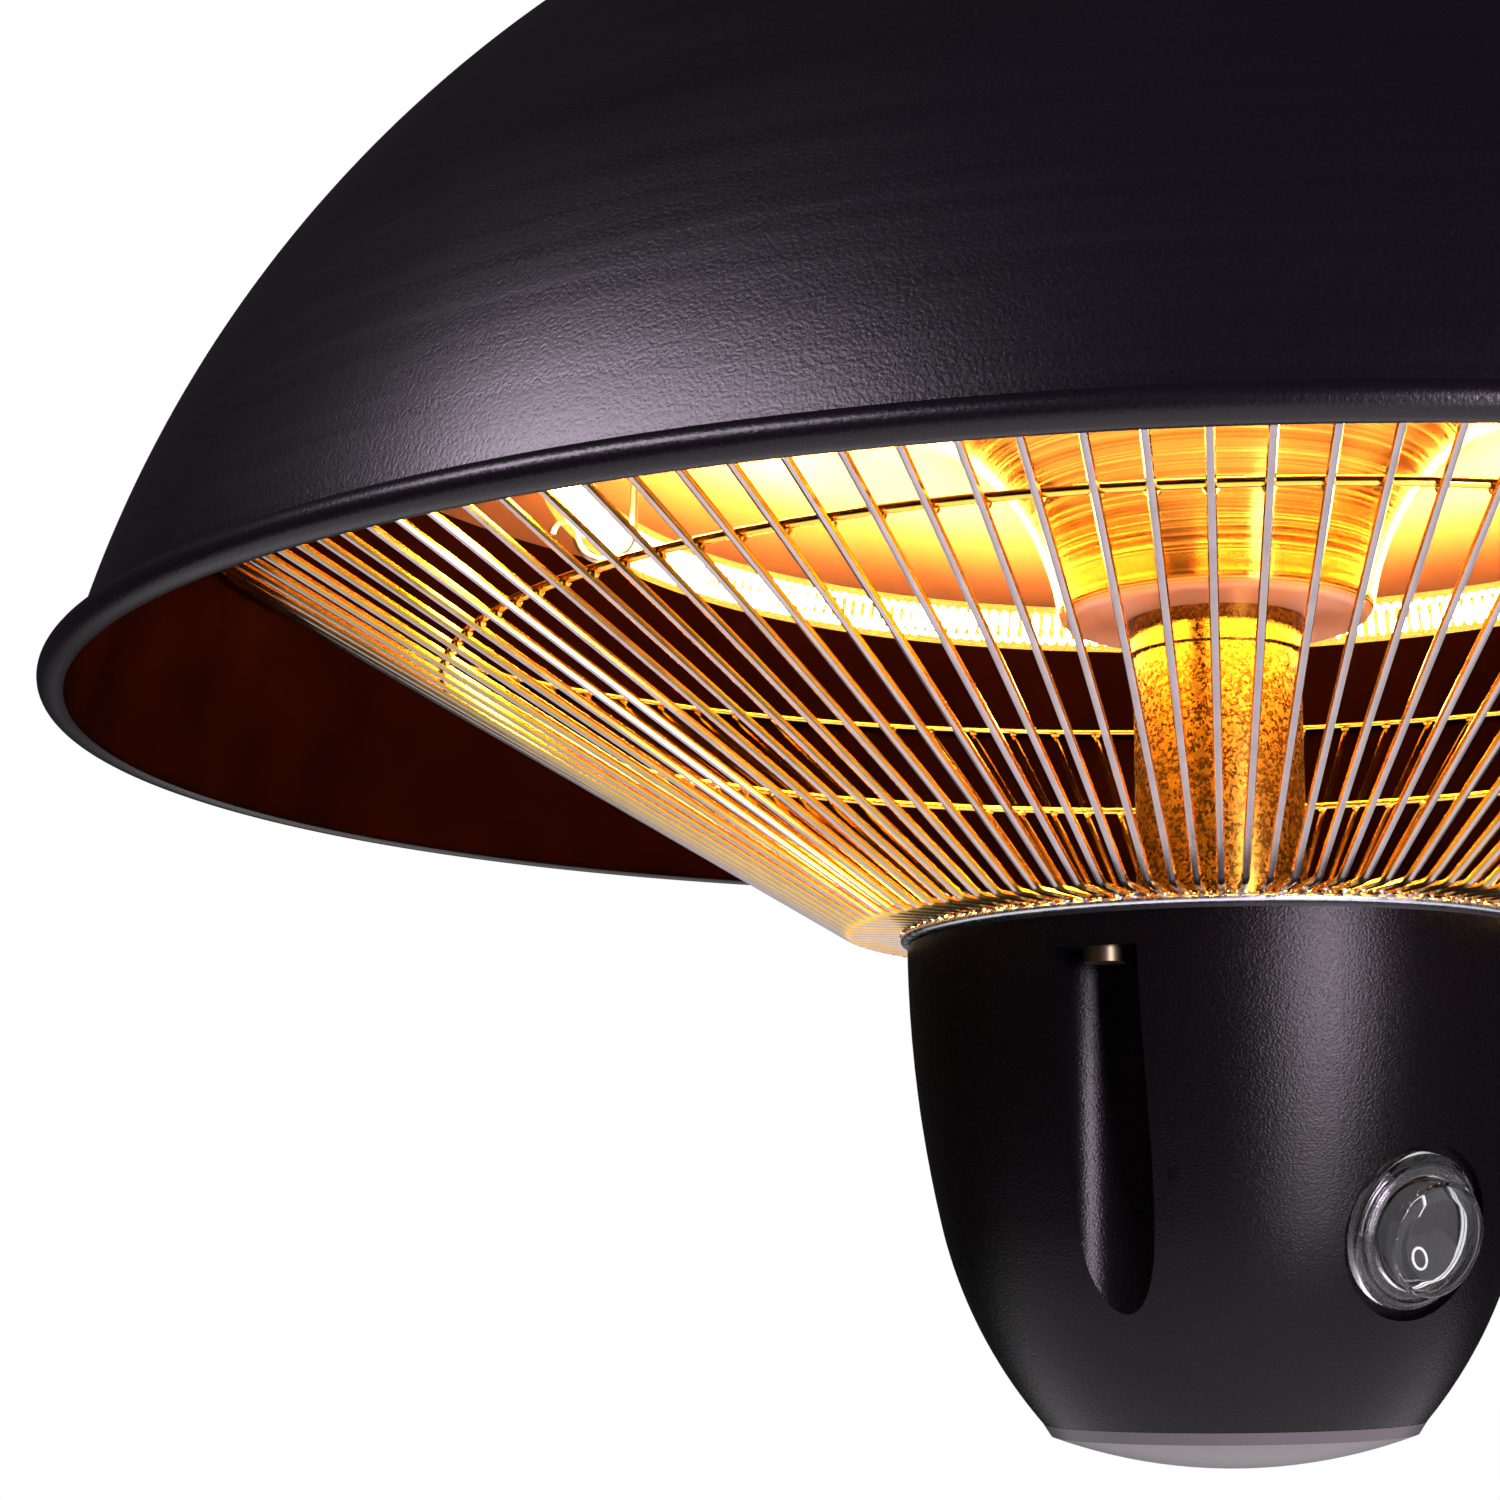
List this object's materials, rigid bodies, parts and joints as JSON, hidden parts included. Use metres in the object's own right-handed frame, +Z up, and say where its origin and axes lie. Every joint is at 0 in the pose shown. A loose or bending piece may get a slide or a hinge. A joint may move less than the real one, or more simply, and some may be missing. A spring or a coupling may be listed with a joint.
{
  "type": "hanging patio heater",
  "caption": "Domed hanging patio heater: ring lamp under a flared reflector, conical wire guard and a switch cup with a booted rocker below.",
  "frame": {"origin": "centre of the hanging eye's hole", "axes": "+Z up, the switch faces -Y, the eye's hole runs along Y"},
  "size_m": [0.425, 0.4249, 0.3595],
  "materials": {
    "shade_black": "fine textured black powder coat",
    "cup_black": "fine spark-eroded moulded black plastic",
    "cap_black": "satin moulded dark plastic",
    "gland_black": "moulded black nylon",
    "reflector_aluminium": "spun and brushed",
    "quartz": "clear drawn quartz",
    "filament": "glowing resistance wire",
    "ceramic": "glazed white ceramic",
    "hook_wire": "bright drawn wire",
    "lead_white": "glass-silk sleeved lead",
    "tube_zinc": "galvanised",
    "guard_wire": "bright plated drawn wire",
    "flange_zinc": "zinc plated",
    "hardware_steel": "zinc plated",
    "switch_black": "moulded",
    "rocker_black": "polished moulding",
    "boot_clear": "clear silicone",
    "rubber_black": "matt rubber",
    "terminal_brass": "stamped",
    "block_ivory": "moulded"
  },
  "bodies": {
    "heater": {"bottom_cap": "cap_black", "cable_grommet": "rubber_black", "centre_tube": "tube_zinc", "gland_body": "gland_black", "gland_cap": "gland_black", "gland_locknut": "gland_black", "gland_seal": "rubber_black", "grille_flange": "flange_zinc", "grille_mid_ring": "guard_wire", "grille_spokes": "guard_wire", "grille_top_ring": "guard_wire", "hanging_eye": "hardware_steel", "housing_gasket": "rubber_black", "housing_screws": "hardware_steel", "lamp_clips": "hook_wire", "lamp_end_caps": "ceramic", "lamp_filament": "filament", "lamp_leads": "lead_white", "lamp_tube": "quartz", "lower_nut": "hardware_steel", "lower_washer": "hardware_steel", "reflector": "reflector_aluminium", "shade": "shade_black", "spacer_sleeve": "hardware_steel", "switch_body": "switch_black", "switch_boot": "boot_clear", "switch_housing": "cup_black", "switch_leads": "lead_white", "switch_terminals": "terminal_brass", "terminal_block": "block_ivory", "terminal_screws": "hardware_steel", "tie_rod": "hardware_steel", "top_cap": "cup_black", "tube_collar": "tube_zinc", "upper_nut": "hardware_steel", "upper_washer": "hardware_steel"},
    "rocker": {"rocker": "rocker_black"}
  },
  "joints": [
    {"name": "rocker_tilt", "type": "hinge", "parent": "heater", "child": "rocker", "pos_m": [0, -0.0495, -0.30522], "axis": [1, 0, 0], "range_deg": [0, 20]}
  ]
}
